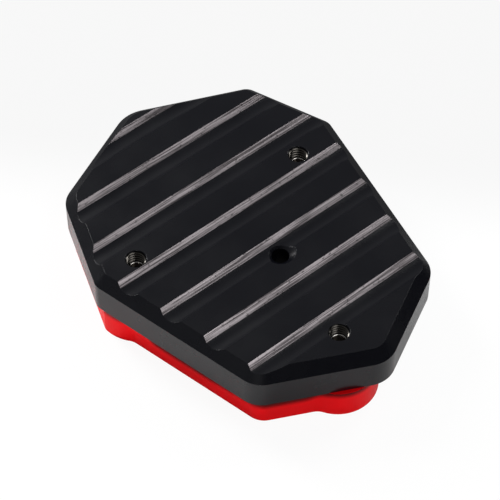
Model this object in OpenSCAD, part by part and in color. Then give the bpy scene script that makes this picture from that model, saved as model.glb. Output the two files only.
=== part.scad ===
// Foot enlarger for a motorbike's side stand, lying with its ground face up.
// A ribbed base plate and a clamp plate close round the stand's foot, held by three screws.

/* [Outline] */
// Distance from the strips' reference line to the back corner
back_y = 66.4; // [60:0.2:72]
// Width across the two rear corners
rear_w = 70; // [64:0.5:76]
// Distance from the reference line to the rear corners
rear_y = 50.8; // [44:0.2:56]
// Width across the widest corners, before the left side is moved out
waist_w = 89.7; // [84:0.1:96]
// Distance from the reference line to the widest corners
waist_y = 24.5; // [20:0.5:30]
// Width across the toe corners, before the left side is moved out
toe_w = 61.6; // [56:0.2:68]
// Distance from the reference line forward to the toe corners
toe_y = 37.1; // [32:0.1:42]
// Distance from the reference line forward to the front corner
front_y = 52.8; // [48:0.2:58]
// How far the long left side stands out past the mirror of the right one
side_out = 2.75; // [0:0.05:4]
// Corner radius at the back
back_r = 11; // [5:0.5:14]
// Corner radius at the left rear corner
rear_left_r = 8.8; // [5:0.2:12]
// Corner radius at the right rear corner
rear_right_r = 4.2; // [4:0.1:10]
// Corner radius at the two widest corners
waist_r = 4.2; // [4:0.1:10]
// Corner radius at the two toe corners
toe_r = 8.2; // [5:0.2:12]
// Corner radius at the front
front_r = 8.8; // [5:0.2:12]

/* [Base plate] */
// Thickness of the base plate
plate_t = 13; // [10:0.5:18]
// Width of the bevel round the ground face
bevel_w = 3.3; // [1:0.1:3.6]
// Height of the bevel round the ground face
bevel_h = 3.3; // [1:0.1:4]

/* [Grip grooves] */
// Distance from one bare strip to the next
strip_pitch = 15; // [12:0.5:18]
// Number of bare strips
strip_count = 7; // [5:1:8]
// Distance from the reference line to the upper edge of the first strip
strip_y = 60; // [57:0.5:62]
// Width of a sloping bare strip, seen from above
strip_w = 1.9; // [1.4:0.1:3]
// Depth of a groove at the strip's foot
strip_h = 0.95; // [0.6:0.05:1.5]
// How much deeper the groove's hollow is than the strip's foot
hollow_h = 0.3; // [0.1:0.05:0.6]
// Radius of that hollow, which runs out at the ground face
hollow_r = 5.7; // [4.5:0.1:7]

/* [Screws] */
// Distance of the left screw from the left rear side
left_screw_rear = 13.1; // [12.9:0.1:15]
// Distance of the left screw from the long left side
left_screw_side = 12.7; // [12.5:0.1:14]
// Distance of the right screw from the right rear side
right_screw_rear = 18.1; // [17:0.1:20]
// Distance of the right screw from the long right side
right_screw_side = 15.45; // [14.5:0.05:16.5]
// Distance of the front screw from the left front side
front_screw_left = 10.8; // [10.3:0.1:12]
// Distance of the front screw from the right front side
front_screw_right = 15.9; // [15:0.1:17]
// Thread diameter
thread_d = 6; // [5:0.5:8]
// Length of a screw under its head
screw_len = 12; // [10:0.5:14]
// Diameter of a screw's head
head_d = 10; // [9:0.5:12]
// Height of a screw's head
head_h = 6; // [5:0.5:6.5]
// Distance across the flats of the key socket
key_w = 5; // [4:0.5:6]
// Depth of the key socket
key_h = 3; // [2:0.5:4]
// Bevel at a screw's tip
tip_bevel = 0.75; // [0.3:0.05:1]
// Clearance round a screw's thread
thread_gap = 0.05; // [0.02:0.01:0.1]
// Clearance round a screw where it passes the clamp plate
shank_gap = 0.3; // [0.2:0.05:0.5]
// Clearance round a screw's head in its pocket
head_gap = 0.5; // [0.3:0.1:1]
// Lead-in bevel at the mouth of a threaded hole
lead = 0.15; // [0.1:0.05:0.5]

/* [Centre hole] */
// Place of the centre hole along the plate
centre_y = -6; // [-7:0.1:-5]
// Diameter of the centre hole
centre_d = 5.2; // [4:0.1:6]
// Diameter of its countersink at the ground face
countersink_d = 9; // [7:0.1:11]

/* [Clamp plate] */
// Thickness of the clamp plate
clamp_t = 10; // [8:0.5:14]
// Metal left under a screw's head
seat_t = 3.5; // [2.5:0.1:4]
// How far it stays inside the rear sides
rear_inset = 1.5; // [1:0.1:2]
// How far it stays inside the long left side
left_inset = 2.1; // [1:0.1:4]
// How far it stays inside the front sides
front_inset = 1.4; // [1:0.1:3]
// How far it stays inside the long right side
right_inset = 1.5; // [1:0.1:4]
// Radius of the lobe round the left screw
left_lobe_r = 12.4; // [11.9:0.1:12.5]
// Radius of the lobes round the front and right screws
lobe_r = 12; // [11.2:0.1:12.2]
// Corner radius where the left lobe meets the rear side
lobe_corner_r = 2; // [1:0.5:4]
// Radius of the hollow that joins a lobe to a straight side
blend_r = 5; // [2:0.5:8]
// Width of the slot for the stand's leg
slot_w = 34; // [28:0.5:38]
// Radius of the slot's inner corners
slot_r = 13; // [6:0.5:13.5]
// Radius of the corners at the slot's mouth
mouth_r = 4; // [1:0.5:6]
// Width of the pocket for the stand's foot
pocket_w = 46; // [40:0.5:49]
// Length of that pocket
pocket_l = 44; // [38:0.5:48]
// Depth of that pocket, from the base plate's side
pocket_h = 5.5; // [4.5:0.5:6]
// Radius of the pocket's corners
pocket_r = 14; // [8:0.5:18]
// How far the slot and the pocket stay clear of the left screw's lobe
back_gap = 0.4; // [0.2:0.1:3]

/* [Hidden] */
$fn = 96;

// Overrun of a cutter past the face it opens
over = 0.1;
// Turn of one facet on the outlines' rounds
facet_turn = 5;
full_t = clamp_t + plate_t;
shank_d = thread_d - 2 * thread_gap;

function unit(v) = v / norm(v);
function left_of(v) = [-v.y, v.x];
function point(c) = [c.x, c.y];

// Corner c with its neighbours a and b: run of the round along each side, and the round's centre
function half_angle(a, c, b) = acos(unit(point(a) - point(c)) * unit(point(b) - point(c))) / 2;
function run(a, c, b) = c.z / tan(half_angle(a, c, b));
function centre(a, c, b) =
    point(c) + unit(unit(point(a) - point(c)) + unit(point(b) - point(c))) * c.z / sin(half_angle(a, c, b));
function bends_out(a, c, b) = cross(point(c) - point(a), point(b) - point(c)) > 0;
function near(c, other, distance) = point(c) + unit(point(other) - point(c)) * distance;
function before(list, i) = list[(i + len(list) - 1) % len(list)];
function after(list, i) = list[(i + 1) % len(list)];

// Where the sides a-b and c-d meet, each moved inwards by its own distance
function crossing(p, u, q, v) = p + u * cross(q - p, v) / cross(u, v);
function inset_corner(a, b, ab_in, c, d, cd_in) =
    let (u = unit(point(b) - point(a)), v = unit(point(d) - point(c)))
    crossing(point(b) + left_of(u) * ab_in, u, point(c) + left_of(v) * cd_in, v);

// Base outline, anticlockwise from the back corner, as x, y and radius.
// The left side is the mirror of the right one, moved out, so its two corners are crossings.
back = [0, back_y, back_r];
rear_left = [-rear_w / 2, rear_y, rear_left_r];
rear_right = [rear_w / 2, rear_y, rear_right_r];
waist_right = [waist_w / 2, waist_y, waist_r];
toe_right = [toe_w / 2, -toe_y, toe_r];
front = [0, -front_y, front_r];
waist_mirror = [-waist_w / 2, waist_y];
toe_mirror = [-toe_w / 2, -toe_y];
waist_left =
    concat(inset_corner(rear_left, waist_mirror, 0, waist_mirror, toe_mirror, -side_out), waist_r);
toe_left = concat(inset_corner(waist_mirror, toe_mirror, -side_out, toe_mirror, front, 0), toe_r);
plate_corners = [back, rear_left, waist_left, toe_left, front, toe_right, waist_right, rear_right];

// The plate's middle, which is the part's origin
sides = [0 : len(plate_corners) - 1];
rounds = [for (i = sides)
    centre(before(plate_corners, i), plate_corners[i], after(plate_corners, i))];
radii = [for (c = plate_corners) c.z];
middle = [
    (max([for (i = sides) rounds[i].x + radii[i]]) + min([for (i = sides) rounds[i].x - radii[i]])) / 2,
    (max([for (i = sides) rounds[i].y + radii[i]]) + min([for (i = sides) rounds[i].y - radii[i]])) / 2
];

left_screw = inset_corner(rear_left, waist_left, left_screw_rear, waist_left, toe_left, left_screw_side);
right_screw = inset_corner(toe_right, waist_right, right_screw_side, waist_right, rear_right, right_screw_rear);
front_screw = inset_corner(toe_left, front, front_screw_left, front, toe_right, front_screw_right);
screw_places = [left_screw, right_screw, front_screw];

// The slot opens between the front and right screws, square to the line through them
slot_side = unit(right_screw - front_screw);
slot_out = -left_of(slot_side);
slot_turn = atan2(slot_out.y, slot_out.x);
slot_mid = (right_screw + front_screw) / 2;
arm_end = slot_mid + slot_out * lobe_r;
slot_back = (left_screw - slot_mid) * slot_out + left_lobe_r + back_gap;

rear_left_side = unit(point(waist_left) - point(rear_left));
left_side = unit(point(toe_left) - point(waist_left));
front_side = unit(point(front) - point(toe_left));
right_side = unit(point(waist_right) - point(toe_right));

// Points of an arc round c, from the direction of v and on by a turn, anticlockwise if that is positive
function heading(v) = atan2(v.y, v.x);
function arc(c, r, v, turn) =
    let (steps = ceil(abs(turn) / facet_turn))
    [for (k = [0 : steps])
        c + r * [cos(heading(v) + turn * k / steps), sin(heading(v) + turn * k / steps)]];
function turn_between(v, w) = (heading(w) - heading(v) + 720) % 360;

// Centre of the round of radius r between a lobe and the side that runs along u through p: hollow joints
// have a positive r and corners a negative one. It is ahead of the screw or, with ahead at -1, behind it.
function blend_centre(screw, size, r, p, u, ahead) =
    let (reach = (p - screw) * -left_of(u) + r)
    screw - left_of(u) * reach + u * ahead * sqrt(pow(size + r, 2) - pow(reach, 2));
rear_edge = point(waist_left) + left_of(rear_left_side) * rear_inset;
left_edge = point(waist_left) + left_of(left_side) * left_inset;
front_edge = point(front) + left_of(front_side) * front_inset;
lobe_corner = blend_centre(left_screw, left_lobe_r, -lobe_corner_r, rear_edge, rear_left_side, 1);
left_blend = blend_centre(left_screw, left_lobe_r, blend_r, left_edge, left_side, 1);
front_blend = blend_centre(front_screw, lobe_r, blend_r, front_edge, front_side, -1);

// The left lobe and its joint, then the front joint and its lobe, as the outline meets them
left_lobe = concat(
    arc(lobe_corner, lobe_corner_r, -left_of(rear_left_side),
        turn_between(-left_of(rear_left_side), lobe_corner - left_screw)),
    arc(left_screw, left_lobe_r, lobe_corner - left_screw,
        turn_between(lobe_corner - left_screw, left_blend - left_screw)),
    arc(left_blend, blend_r, left_screw - left_blend,
        turn_between(left_screw - left_blend, left_of(left_side)) - 360));
front_lobe = concat(
    arc(front_blend, blend_r, left_of(front_side),
        turn_between(left_of(front_side), front_screw - front_blend) - 360),
    arc(front_screw, lobe_r, front_blend - front_screw, turn_between(front_blend - front_screw, slot_out)));

// Clamp outline, anticlockwise from the back corner
clamp_back = concat(inset_corner(rear_right, back, rear_inset, back, rear_left, rear_inset), back_r - rear_inset);
clamp_rear_left = concat(
    inset_corner(back, rear_left, rear_inset, rear_left, waist_left, rear_inset), rear_left_r - rear_inset);
clamp_toe_left =
    concat(inset_corner(waist_left, toe_left, left_inset, toe_left, front, front_inset), toe_r - left_inset);
clamp_waist_right = concat(
    inset_corner(toe_right, waist_right, right_inset, waist_right, rear_right, rear_inset), waist_r - rear_inset);
clamp_rear_right = concat(
    inset_corner(waist_right, rear_right, rear_inset, rear_right, back, rear_inset), rear_right_r - rear_inset);
arm_corner = concat(
    crossing(point(waist_right) + left_of(right_side) * right_inset, right_side, arm_end, slot_side), lobe_r);
clamp_corners = [
    clamp_back,
    clamp_rear_left,
    each [for (p = left_lobe) concat(p, 0)],
    clamp_toe_left,
    each [for (p = front_lobe) concat(p, 0)],
    concat(arm_end - slot_side * slot_w / 2, mouth_r),
    concat(slot_mid + slot_out * slot_back - slot_side * slot_w / 2, slot_r),
    concat(slot_mid + slot_out * slot_back + slot_side * slot_w / 2, slot_r),
    concat(arm_end + slot_side * slot_w / 2, mouth_r),
    arm_corner,
    clamp_waist_right,
    clamp_rear_right
];

// A corner list as a flat shape: straight sides, with a round in each corner that has a radius
function corner_points(a, c, b) = c.z == 0 ? [point(c)] :
    arc(centre(a, c, b), c.z, near(c, a, run(a, c, b)) - centre(a, c, b),
        (bends_out(a, c, b) ? 1 : -1) * (180 - 2 * half_angle(a, c, b)));
module rounded(corners) {
    polygon([for (i = [0 : len(corners) - 1])
        each corner_points(before(corners, i), corners[i], after(corners, i))]);
}

// The base plate before its cuts: straight walls, then the bevel up to the ground face
module bevelled_block() {
    hull()
        for (i = sides)
            translate(rounds[i]) {
                cylinder(h = plate_t - bevel_h, r = radii[i], $fn = 360 / facet_turn);
                cylinder(h = plate_t, r = radii[i] - bevel_w, $fn = 360 / facet_turn);
            }
}

// One groove across the plate: the sloping strip, then a hollow from its foot back up to the ground face
module groove_profile() {
    hollow_run = sqrt(pow(hollow_r, 2) - pow(hollow_r - hollow_h, 2));
    depth = strip_h + hollow_h;
    polygon([[-strip_w, -strip_h], [strip_w / strip_h, 1], [-strip_w, 1]]);
    intersection() {
        translate([-strip_w - hollow_run, hollow_r - depth]) circle(r = hollow_r, $fn = 120);
        translate([-strip_w - 2 * hollow_r, -depth]) square([2 * hollow_r, depth + 1]);
    }
}

module at_screws() {
    for (place = screw_places) translate(place) children();
}

module base_plate() {
    color([0.04, 0.04, 0.05]) translate(-middle) difference() {
        translate([0, 0, clamp_t]) bevelled_block();
        for (i = [0 : strip_count - 1])
            translate([0, strip_y - i * strip_pitch, full_t])
                rotate([90, 0, 90]) linear_extrude(2 * waist_w, center = true) groove_profile();
        at_screws() {
            translate([0, 0, clamp_t - over]) cylinder(h = plate_t + 2 * over, d = thread_d);
            translate([0, 0, full_t - lead]) cylinder(h = 2 * lead, r1 = thread_d / 2, r2 = thread_d / 2 + 2 * lead);
        }
        translate([0, centre_y, clamp_t - over]) cylinder(h = plate_t + 2 * over, d = centre_d);
        translate([0, centre_y, full_t - (countersink_d - centre_d) / 2])
            cylinder(h = countersink_d - centre_d, d1 = centre_d, d2 = 2 * countersink_d - centre_d);
    }
}

module clamp_plate() {
    color([0.75, 0.1, 0.12]) translate(-middle) difference() {
        linear_extrude(clamp_t) rounded(clamp_corners);
        translate([slot_mid.x, slot_mid.y, clamp_t - pocket_h]) rotate([0, 0, slot_turn])
            translate([slot_back, 0, 0]) linear_extrude(pocket_h + over) rounded([
                [0, -pocket_w / 2, pocket_r], [pocket_l, -pocket_w / 2, pocket_r],
                [pocket_l, pocket_w / 2, pocket_r], [0, pocket_w / 2, pocket_r]]);
        at_screws() {
            translate([0, 0, -over]) cylinder(h = clamp_t + 2 * over, d = thread_d + 2 * shank_gap);
            translate([0, 0, -over]) cylinder(h = clamp_t - seat_t + over, d = head_d + 2 * head_gap);
        }
    }
}

module screws() {
    color([0.55, 0.56, 0.58]) translate(-middle) at_screws() translate([0, 0, clamp_t - seat_t]) {
        difference() {
            union() {
                translate([0, 0, -head_h]) cylinder(h = head_h, d = head_d);
                cylinder(h = screw_len - tip_bevel, d = shank_d);
                translate([0, 0, screw_len - tip_bevel])
                    cylinder(h = tip_bevel, r1 = shank_d / 2, r2 = shank_d / 2 - tip_bevel);
            }
            translate([0, 0, -head_h - over]) cylinder(h = key_h + over, d = key_w / cos(30), $fn = 6);
        }
    }
}

base_plate();
clamp_plate();
screws();
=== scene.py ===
import math

import bmesh
import bpy
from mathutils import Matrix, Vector


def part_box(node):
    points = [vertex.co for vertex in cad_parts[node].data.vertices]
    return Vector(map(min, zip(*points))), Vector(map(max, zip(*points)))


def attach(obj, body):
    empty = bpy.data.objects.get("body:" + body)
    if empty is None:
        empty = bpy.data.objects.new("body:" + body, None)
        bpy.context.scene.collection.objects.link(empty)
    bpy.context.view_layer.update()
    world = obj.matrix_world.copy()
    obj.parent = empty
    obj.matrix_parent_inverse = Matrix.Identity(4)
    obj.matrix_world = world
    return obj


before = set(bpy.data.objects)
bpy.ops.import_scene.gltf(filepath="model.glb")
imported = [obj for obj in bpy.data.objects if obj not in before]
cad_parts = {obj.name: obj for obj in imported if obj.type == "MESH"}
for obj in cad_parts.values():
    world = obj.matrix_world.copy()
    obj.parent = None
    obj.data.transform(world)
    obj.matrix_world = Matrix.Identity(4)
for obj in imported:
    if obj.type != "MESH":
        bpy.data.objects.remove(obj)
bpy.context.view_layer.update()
mm = 0.001
print("frame loaded")

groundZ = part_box("base_plate")[1].z    # the flat lands between the grooves
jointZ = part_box("clamp_plate")[1].z    # where the red plate meets the black one
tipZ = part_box("screws")[1].z           # the screws' tips

# Axes of the tapped holes, seen from above
tappedHoles = [
    (-32.336 * mm, 11.405 * mm),
    (28.562 * mm, 11.906 * mm),
    (-4.738 * mm, -44.633 * mm),
]


def newMaterial(name):
    material = bpy.data.materials.new(name)
    material.use_nodes = True
    tree = material.node_tree
    tree.nodes.clear()
    return material, tree


def link(tree, source, target):
    tree.links.new(source, target)


def showShader(tree, shader, kind="ShaderNodeOutputMaterial"):
    link(tree, shader, tree.nodes.new(kind).inputs["Surface"])


def newShader(tree, gloss=0.5, metallic=0):
    node = tree.nodes.new("ShaderNodeBsdfPrincipled")
    node.inputs["Metallic"].default_value = metallic
    node.inputs["Roughness"].default_value = gloss
    return node


def mixedShader(tree, share, first, second):
    mix = tree.nodes.new("ShaderNodeMixShader")
    for socket, source in zip(mix.inputs, (share, first, second)):
        link(tree, source, socket)
    return mix.outputs[0]


def objectCoordinates(tree):
    return tree.nodes.new("ShaderNodeTexCoord").outputs["Object"]


def fromAxis(tree, place):
    # the same coordinates, counted from an upright axis at place
    mapping = tree.nodes.new("ShaderNodeMapping")
    mapping.inputs["Location"].default_value = (-place[0], -place[1], 0)
    link(tree, objectCoordinates(tree), mapping.inputs["Vector"])
    return mapping.outputs[0]


def separated(tree, coordinates):
    split = tree.nodes.new("ShaderNodeSeparateXYZ")
    link(tree, coordinates, split.inputs[0])
    return split.outputs["X"], split.outputs["Y"], split.outputs["Z"]


def mathNode(tree, operation, a, b=None, clamp=False):
    node = tree.nodes.new("ShaderNodeMath")
    node.operation = operation
    node.use_clamp = clamp
    for socket, value in zip(node.inputs, (a, b)):
        if value is None:
            continue
        if isinstance(value, (int, float)):
            socket.default_value = value
        else:
            link(tree, value, socket)
    return node.outputs[0]


def product(tree, first, *others):
    for other in others:
        first = mathNode(tree, "MULTIPLY", first, other)
    return first


def between(tree, value, start, end, first, last, fading="SMOOTHSTEP"):
    # runs from first to last while value goes from start to end
    node = tree.nodes.new("ShaderNodeMapRange")
    node.interpolation_type = fading
    for socket, number in (("From Min", start), ("From Max", end), ("To Min", first), ("To Max", last)):
        node.inputs[socket].default_value = number
    link(tree, value, node.inputs["Value"])
    return node.outputs["Result"]


def speckle(tree, coordinates, scale, detail, roughness, stretch=(1, 1, 1)):
    mapping = tree.nodes.new("ShaderNodeMapping")
    mapping.inputs["Scale"].default_value = stretch
    link(tree, coordinates, mapping.inputs["Vector"])
    noise = tree.nodes.new("ShaderNodeTexNoise")
    noise.inputs["Scale"].default_value = scale
    noise.inputs["Detail"].default_value = detail
    noise.inputs["Roughness"].default_value = roughness
    link(tree, mapping.outputs[0], noise.inputs["Vector"])
    return noise.outputs["Fac"]


def ramp(tree, factor, stops):
    node = tree.nodes.new("ShaderNodeValToRGB")
    while len(node.color_ramp.elements) < len(stops):
        node.color_ramp.elements.new(0.5)
    for element, (position, value) in zip(node.color_ramp.elements, stops):
        element.position = position
        element.color = (value, value, value, 1) if isinstance(value, (int, float)) else (*value, 1)
    link(tree, factor, node.inputs[0])
    return node.outputs[0]


def multiplied(tree, a, b):
    node = tree.nodes.new("ShaderNodeMix")
    node.data_type = "RGBA"
    node.blend_type = "MULTIPLY"
    node.inputs["Factor"].default_value = 1
    link(tree, a, node.inputs[6])
    link(tree, b, node.inputs[7])
    return node.outputs[2]


def bump(tree, height, relief, normal=None):
    node = tree.nodes.new("ShaderNodeBump")
    node.inputs["Strength"].default_value, node.inputs["Distance"].default_value = relief
    link(tree, height, node.inputs["Height"])
    if normal is not None:
        link(tree, normal, node.inputs["Normal"])
    return node.outputs[0]


def softEdges(tree, radius):
    node = tree.nodes.new("ShaderNodeBevel")
    node.samples = 6
    node.inputs["Radius"].default_value = radius
    return node.outputs[0]


# In the finishes, a range such as tone gives what a pattern's value turns into at each stop,
# and a relief is the bump's strength and its height
blackFinish = {
    "colour": (0.0024, 0.0026, 0.0042, 1),
    "ior": 1.32,
    "clouds": {"scale": 60, "detail": 3, "roughness": 0.5},
    "gloss": ((0.3, 0.22), (0.7, 0.32)),
    "grain": {"scale": 2600, "detail": 4, "roughness": 0.6},
    "relief": (0.25, 0.006 * mm),
    "edgeRadius": 0.1 * mm,
}

# The sloping strips in the grooves, which are milled bare along x
grip = {
    "firstStrip": 53.183 * mm,    # y of the upper edge of the strip at the back
    "pitch": 15 * mm,
    "run": 97.5 * mm,             # from the first strip to past the last one
    "stripWidth": 1.9 * mm,
    "stripDrop": 0.95 * mm,
    "offPlane": 0.03 * mm,        # how far from a strip's own plane still counts as bare
    "beforeFirst": -0.01 * mm,    # and how far before the first strip
}
bareFinish = {
    "gloss": 0.36,
    "streaks": {"scale": 2800, "detail": 5, "roughness": 0.6, "stretch": (0.02, 1, 1)},
    "tone": ((0.41, (0.05, 0.045, 0.047)), (0.57, (0.225, 0.205, 0.213))),
    "relief": (0.6, 0.01 * mm),
    "pits": {"scale": 1500, "detail": 2, "roughness": 0.5, "stretch": (0.55, 1, 1)},
    "pitTone": ((0.30, 0.3), (0.38, 1.0)),
    "footTone": ((0.5, 1.0), (0.9, 0.62)),    # from a strip's middle to its foot, which is darker
}


def stripMask(tree, coordinates):
    # 1 on the bare strips and 0 elsewhere, and the distance from a strip's upper edge
    _, y, z = separated(tree, coordinates)
    along = mathNode(tree, "SUBTRACT", grip["firstStrip"], y)
    fromEdge = mathNode(tree, "FLOORED_MODULO", along, grip["pitch"])
    depth = mathNode(tree, "SUBTRACT", groundZ, z)
    stripDepth = mathNode(tree, "MULTIPLY", fromEdge, grip["stripDrop"] / grip["stripWidth"])
    offPlane = mathNode(tree, "ABSOLUTE", mathNode(tree, "SUBTRACT", depth, stripDepth))
    mask = product(
        tree,
        mathNode(tree, "LESS_THAN", offPlane, grip["offPlane"]),
        mathNode(tree, "LESS_THAN", fromEdge, grip["stripWidth"]),
        mathNode(tree, "GREATER_THAN", along, grip["beforeFirst"]),
        mathNode(tree, "LESS_THAN", along, grip["run"]),
    )
    return mask, fromEdge


def blackAnodised():
    material, tree = newMaterial("blackAnodised")
    coordinates = objectCoordinates(tree)
    film = newShader(tree)
    film.inputs["Base Color"].default_value = blackFinish["colour"]
    film.inputs["IOR"].default_value = blackFinish["ior"]
    clouds = speckle(tree, coordinates, **blackFinish["clouds"])
    link(tree, ramp(tree, clouds, blackFinish["gloss"]), film.inputs["Roughness"])
    grain = speckle(tree, coordinates, **blackFinish["grain"])
    rounded = softEdges(tree, blackFinish["edgeRadius"])
    link(tree, bump(tree, grain, blackFinish["relief"], rounded), film.inputs["Normal"])

    mask, fromEdge = stripMask(tree, coordinates)
    bare = newShader(tree, bareFinish["gloss"], metallic=1)
    streaks = speckle(tree, coordinates, **bareFinish["streaks"])
    pits = ramp(tree, speckle(tree, coordinates, **bareFinish["pits"]), bareFinish["pitTone"])
    across = mathNode(tree, "DIVIDE", fromEdge, grip["stripWidth"])
    colour = multiplied(tree, ramp(tree, streaks, bareFinish["tone"]), pits)
    colour = multiplied(tree, colour, ramp(tree, across, bareFinish["footTone"]))
    link(tree, colour, bare.inputs["Base Color"])
    link(tree, bump(tree, streaks, bareFinish["relief"]), bare.inputs["Normal"])
    showShader(tree, mixedShader(tree, mask, film.outputs[0], bare.outputs[0]))
    return material


redFinish = {
    "metallic": 0.4,
    "specular": 0.03,
    "gloss": 0.42,
    "clouds": {"scale": 90, "detail": 3, "roughness": 0.5},
    "tone": ((0.3, (0.74, 0.0024, 0.005)), (0.7, (0.85, 0.0030, 0.007))),
    "grain": {"scale": 2600, "detail": 4, "roughness": 0.6},
    "relief": (0.3, 0.006 * mm),
    "edgeRadius": 0.2 * mm,
}

# Painted shade in the joint under the black plate's overhang: a dark band on the red plate's sides, darkest
# at the top
jointShade = {
    "tone": ((0.0, 0.12), (0.25, 0.22), (0.5, 0.5), (0.75, 0.82), (1.0, 1.0)),
    "fade": 2.4 * mm,             # depth over which it fades out
    "lobes": 0.2 * mm,            # depth to which it is full at the lobes,
    "front": 2.4 * mm,            # on the front side
    "left": 3.8 * mm,             # and on the long left side
    "topFace": 0.02 * mm,         # no shade on the plate's top face, down to this depth
    "lobeEnd": 1 * mm,            # y at which the left lobe runs out
    "sideStart": -6 * mm,         # and at which the left side has its full depth
    "leftEnd": -36 * mm,          # x at which the left side ends
    "frontStart": -31 * mm,       # and the front side starts
    "frontEnd": -20 * mm,         # x at which the front side's depth starts to run out
    "frontLobe": -12 * mm,        # and the front lobe has only its own
}


def shadeDepth(tree, x, y):
    # how far down the sides the painted shade is full, by place
    sides = between(tree, x, jointShade["frontStart"], jointShade["leftEnd"],
                    jointShade["front"], jointShade["left"])
    pastFrontLobe = between(tree, x, jointShade["frontLobe"], jointShade["frontEnd"], 0, 1)
    pastLeftLobe = between(tree, y, jointShade["lobeEnd"], jointShade["sideStart"], 0, 1)
    return mathNode(tree, "MAXIMUM", product(tree, sides, pastFrontLobe, pastLeftLobe), jointShade["lobes"])


def redAnodised():
    material, tree = newMaterial("redAnodised")
    coordinates = objectCoordinates(tree)
    x, y, z = separated(tree, coordinates)
    shader = newShader(tree, redFinish["gloss"], redFinish["metallic"])
    shader.inputs["Specular IOR Level"].default_value = redFinish["specular"]

    # painted shade: the red is darkened below the joint, full down to shadeDepth and then fading out
    depth = mathNode(tree, "SUBTRACT", jointZ, z)
    pastShade = mathNode(tree, "SUBTRACT", depth, shadeDepth(tree, x, y))
    light = mathNode(tree, "DIVIDE", pastShade, jointShade["fade"], clamp=True)
    onTop = mathNode(tree, "GREATER_THAN", z, jointZ - jointShade["topFace"])
    light = ramp(tree, mathNode(tree, "MAXIMUM", light, onTop), jointShade["tone"])
    colour = ramp(tree, speckle(tree, coordinates, **redFinish["clouds"]), redFinish["tone"])
    link(tree, multiplied(tree, colour, light), shader.inputs["Base Color"])

    grain = speckle(tree, coordinates, **redFinish["grain"])
    rounded = softEdges(tree, redFinish["edgeRadius"])
    link(tree, bump(tree, grain, redFinish["relief"], rounded), shader.inputs["Normal"])
    showShader(tree, shader.outputs[0])
    return material


steelFinish = {
    "gloss": 0.15,
    "tone": ((0.3, (0.46, 0.44, 0.42)), (0.7, (0.62, 0.60, 0.57))),
    "grain": {"scale": 1800, "detail": 4, "roughness": 0.6},
    "relief": (0.3, 0.006 * mm),
    "edgeRadius": 0.15 * mm,
}
# A dark steel for the disc over a screw tip's face, painted shade where the face sits deep in its hole
tipShadeFinish = {
    **steelFinish,
    "gloss": 0.4,
    "tone": ((0.3, (0.04, 0.033, 0.027)), (0.7, (0.09, 0.075, 0.062))),
}


def steel(name, finish, place=(0, 0)):
    material, tree = newMaterial(name)
    grain = speckle(tree, fromAxis(tree, place), **finish["grain"])
    shader = newShader(tree, finish["gloss"], metallic=1)
    link(tree, ramp(tree, grain, finish["tone"]), shader.inputs["Base Color"])
    rounded = softEdges(tree, finish["edgeRadius"])
    link(tree, bump(tree, grain, finish["relief"], rounded), shader.inputs["Normal"])
    showShader(tree, shader.outputs[0])
    return material


threadFinish = {
    "gloss": 0.24,
    "darkFrom": 2.62 * mm,        # radius at which a thread's flank starts to darken
    "darkTo": 2.80 * mm,
    "tone": ((0.0, (0.085, 0.079, 0.071)), (1.0, (0.006, 0.006, 0.006))),    # from crest to root
    "grain": {"scale": 2200, "detail": 4, "roughness": 0.6},
    "wear": ((0.3, 0.6), (0.7, 1.0)),
    "relief": (0.3, 0.006 * mm),
}


def bareThread(name, place):
    material, tree = newMaterial(name)
    coordinates = fromAxis(tree, place)
    x, y, _ = separated(tree, coordinates)
    radius = mathNode(tree, "SQRT", mathNode(tree, "ADD", product(tree, x, x), product(tree, y, y)))
    inWall = between(tree, radius, threadFinish["darkFrom"], threadFinish["darkTo"], 0, 1, "LINEAR")
    grain = speckle(tree, coordinates, **threadFinish["grain"])
    shader = newShader(tree, threadFinish["gloss"], metallic=1)
    colour = ramp(tree, inWall, threadFinish["tone"])
    colour = multiplied(tree, colour, ramp(tree, grain, threadFinish["wear"]))
    link(tree, colour, shader.inputs["Base Color"])
    link(tree, bump(tree, grain, threadFinish["relief"]), shader.inputs["Normal"])
    showShader(tree, shader.outputs[0])
    return material


def dress(node, material):
    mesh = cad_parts[node].data
    mesh.materials.clear()
    mesh.materials.append(material)


dress("base_plate", blackAnodised())
dress("clamp_plate", redAnodised())
dress("screws", steel("screwSteel", steelFinish))
print("plates and screws finished")


def finished(name, mesh, place, material):
    # made round the z axis, then put in its place, so that the object itself stays at the origin
    bmesh.ops.translate(mesh, verts=mesh.verts, vec=(*place, 0))
    data = bpy.data.meshes.new(name)
    mesh.to_mesh(data)
    mesh.free()
    data.materials.append(material)
    piece = bpy.data.objects.new(name, data)
    bpy.context.scene.collection.objects.link(piece)
    return piece


# The thread in a tapped hole, from under the screw's tip up to the hole's lead-in bevel
thread = {
    "major": 3.02 * mm,           # radius at the root, sunk a little into the hole's wall
    "minor": 2.5 * mm,            # radius at the crest
    "pitch": 1.0 * mm,
    "crest": 0.16 * mm,           # width of the crest
    "root": 0.84 * mm,            # width at the wall
    "stepsPerTurn": 40,
    "below": 0.9 * mm,            # start under the screw's tip
    "above": 0.15 * mm,           # end under the ground face
}


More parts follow.
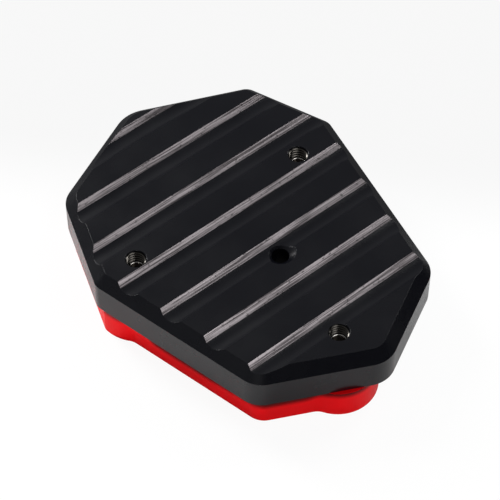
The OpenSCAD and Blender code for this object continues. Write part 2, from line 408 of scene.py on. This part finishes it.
def tappedThread(number, place):
    name = "tappedThread%d" % number
    low = tipZ - thread["below"] + thread["root"] / 2
    high = groundZ - thread["above"] - thread["root"] / 2
    turns = (high - low) / thread["pitch"]
    steps = round(turns * thread["stepsPerTurn"])
    profile = [
        (thread["major"], -thread["root"] / 2),
        (thread["minor"], -thread["crest"] / 2),
        (thread["minor"], thread["crest"] / 2),
        (thread["major"], thread["root"] / 2),
    ]
    mesh = bmesh.new()
    verts = [mesh.verts.new((radius, 0, low + z)) for radius, z in profile]
    edges = [mesh.edges.new((verts[k - 1], verts[k])) for k in range(4)]
    bmesh.ops.spin(mesh, geom=verts + edges, cent=(0, 0, low), axis=(0, 0, 1),
                   dvec=(0, 0, (high - low) / steps), angle=turns * 2 * math.pi, steps=steps)
    bmesh.ops.holes_fill(mesh, edges=[e for e in mesh.edges if e.is_boundary], sides=4)
    bmesh.ops.recalc_face_normals(mesh, faces=mesh.faces)
    piece = finished(name, mesh, place, bareThread("bareThread%d" % number, place))
    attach(piece, "root")


# The raised ring that rolling leaves on a screw's tip, and a thin dark disc on the tip's face inside it,
# painted shade
tip = {
    "ringRadius": 2.25 * mm,
    "ringWidth": 0.7 * mm,
    "ringHeight": 0.32 * mm,
    "ringSink": 0.45 * mm,        # the ring goes down into the bevel round the tip
    "ringSteps": 8,
    "shadeDiscRadius": 2.075 * mm,
    "shadeDiscSkin": 0.05 * mm,      # the painted shade disc's half thickness above and below the tip's face
    "sections": 48,
}


def lathed(name, profile, closed, place, material):
    mesh = bmesh.new()
    verts = [mesh.verts.new((radius, 0, tipZ + z)) for radius, z in profile]
    edges = [mesh.edges.new(pair) for pair in zip(verts, verts[1:])]
    if closed:
        edges.append(mesh.edges.new((verts[-1], verts[0])))
    bmesh.ops.spin(mesh, geom=verts + edges, cent=(0, 0, 0), axis=(0, 0, 1),
                   angle=2 * math.pi, steps=tip["sections"], use_merge=True)
    bmesh.ops.remove_doubles(mesh, verts=mesh.verts, dist=0.001 * mm)    # the poles
    bmesh.ops.recalc_face_normals(mesh, faces=mesh.faces)
    for face in mesh.faces:
        face.smooth = True
    piece = finished(name, mesh, place, material)
    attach(piece, "root")


def tipRing(number, place):
    half = tip["ringWidth"] / 2
    angles = [math.pi * k / tip["ringSteps"] for k in range(tip["ringSteps"] + 1)]
    profile = [(tip["ringRadius"] + half * math.cos(a), tip["ringHeight"] * math.sin(a)) for a in angles]
    profile.append((tip["ringRadius"] - half, -tip["ringSink"]))
    profile.append((tip["ringRadius"] + half, -tip["ringSink"]))
    lathed("tipRing%d" % number, profile, True, place, steel("tipSteel%d" % number, steelFinish, place))


def tipShadeDisc(number, place):
    radius, skin = tip["shadeDiscRadius"], tip["shadeDiscSkin"]
    profile = [(0, skin), (radius, skin), (radius, -skin), (0, -skin)]
    lathed("tipShadeDisc%d" % number, profile, False, place, steel("tipFaceShade%d" % number, tipShadeFinish, place))


for number, place in enumerate(tappedHoles, 1):
    tappedThread(number, place)
    tipRing(number, place)
    tipShadeDisc(number, place)
print("threads and screw tips made")


def towards(azimuth, elevation):
    a, e = math.radians(azimuth), math.radians(elevation)
    return Vector((math.cos(e) * math.cos(a), math.cos(e) * math.sin(a), math.sin(e)))


# The floor's colour is pale in front of the object and darkens behind it, a painted shade
floor = {
    "halfSize": 3,
    "near": 0.88,
    "far": 0.05,
    "shadeAzimuth": 45,
    "shadeFrom": 8 * mm,
    "shadeTo": 52 * mm,
    "cameraWhite": 0.93,          # share of plain white in what the camera sees, the rest is the lit floor
    "mirrorWhite": 0.05,          # the same in reflections
}


def studioFloor():
    mesh = bmesh.new()
    bmesh.ops.create_grid(mesh, x_segments=1, y_segments=1, size=floor["halfSize"])
    material, tree = newMaterial("floorWhite")
    x, y, _ = separated(tree, objectCoordinates(tree))
    shadeWay = towards(floor["shadeAzimuth"], 0)
    behind = mathNode(tree, "ADD", product(tree, x, shadeWay.x), product(tree, y, shadeWay.y))
    # painted shade: the floor's colour runs from near to far behind the object
    tone = between(tree, behind, floor["shadeFrom"], floor["shadeTo"], floor["near"], floor["far"])
    diffuse = tree.nodes.new("ShaderNodeBsdfDiffuse")
    link(tree, tone, diffuse.inputs["Color"])
    glow = tree.nodes.new("ShaderNodeEmission")
    glow.inputs["Color"].default_value = (1, 1, 1, 1)
    path = tree.nodes.new("ShaderNodeLightPath")
    glossy, through = path.outputs["Is Glossy Ray"], path.outputs["Is Transmission Ray"]
    mirrored = mathNode(tree, "ADD", glossy, through, clamp=True)
    seen = product(tree, path.outputs["Is Camera Ray"], floor["cameraWhite"])
    share = mathNode(tree, "ADD", seen, product(tree, mirrored, floor["mirrorWhite"]), clamp=True)
    showShader(tree, mixedShader(tree, share, diffuse.outputs[0], glow.outputs[0]))
    finished("studioFloor", mesh, (0, 0), material)


# Soft lamps, each at its distance in metres from the object, and its power in watts
lamps = {
    "leftLamp": {"azimuth": 99, "elevation": 34, "distance": 0.6, "size": (0.14, 0.42), "power": 4.6},
    "rightLamp": {"azimuth": -2, "elevation": 38, "distance": 0.6, "size": (0.16, 0.30), "power": 1.8},
    "topLamp": {"azimuth": -66, "elevation": 58, "distance": 0.5, "size": (0.26, 0.26), "power": 0.65},
    "frontLamp": {"azimuth": -140, "elevation": 14, "distance": 0.6, "size": (0.30, 0.08), "power": 1.2},
}


def softLamp(name, lamp):
    data = bpy.data.lights.new(name, "AREA")
    data.shape = "RECTANGLE"
    data.size, data.size_y = lamp["size"]
    data.energy = lamp["power"]
    holder = bpy.data.objects.new(name, data)
    bpy.context.scene.collection.objects.link(holder)
    direction = towards(lamp["azimuth"], lamp["elevation"])
    holder.location = direction * lamp["distance"]
    holder.rotation_euler = (-direction).to_track_quat("-Z", "Y").to_euler()


# The air's own light comes from behind and above, and the camera sees plain white
air = {
    "azimuth": 110,
    "elevation": 40,
    "strength": ((0.0, 0.03), (0.7, 0.29)),    # by the cosine to that direction
}


def whiteAir(tree):
    light = tree.nodes.new("ShaderNodeBackground")
    light.inputs["Color"].default_value = (1, 1, 1, 1)
    light.inputs["Strength"].default_value = 1
    return light


def studioAir():
    world = bpy.data.worlds.new("studioAir")
    bpy.context.scene.world = world
    world.use_nodes = True
    tree = world.node_tree
    tree.nodes.clear()
    facing = tree.nodes.new("ShaderNodeVectorMath")
    facing.operation = "DOT_PRODUCT"
    link(tree, tree.nodes.new("ShaderNodeTexCoord").outputs["Generated"], facing.inputs[0])
    facing.inputs[1].default_value = towards(air["azimuth"], air["elevation"])
    lit = whiteAir(tree)
    link(tree, ramp(tree, facing.outputs["Value"], air["strength"]), lit.inputs["Strength"])
    seen = tree.nodes.new("ShaderNodeLightPath").outputs["Is Camera Ray"]
    mix = mixedShader(tree, seen, lit.outputs[0], whiteAir(tree).outputs[0])
    showShader(tree, mix, "ShaderNodeOutputWorld")


studioFloor()
studioAir()
for lampName, lamp in lamps.items():
    softLamp(lampName, lamp)

view = {
    "lookAt": (-5.403 * mm, -6.817 * mm, 23 * mm),    # what the image's centre shows on the ground face
    "distance": 582.09 * mm,
    "elevation": 51.8,            # how far the camera looks down
    "turn": 39.64,                # and how far it is turned from straight across the strips
    "lens": 147.3,
    "sensor": 36.0,
    "clip": (0.01, 20),
}


def makeCamera():
    forward = towards(90 - view["turn"], -view["elevation"])
    data = bpy.data.cameras.new("photoCamera")
    data.lens = view["lens"]
    data.sensor_width = view["sensor"]
    data.clip_start, data.clip_end = view["clip"]
    camera = bpy.data.objects.new("photoCamera", data)
    bpy.context.scene.collection.objects.link(camera)
    camera.location = Vector(view["lookAt"]) - forward * view["distance"]
    camera.rotation_euler = forward.to_track_quat("-Z", "Y").to_euler()
    bpy.context.scene.camera = camera


makeCamera()
bpy.context.scene.view_settings.view_transform = "Standard"
print("stage, lamps and camera set")
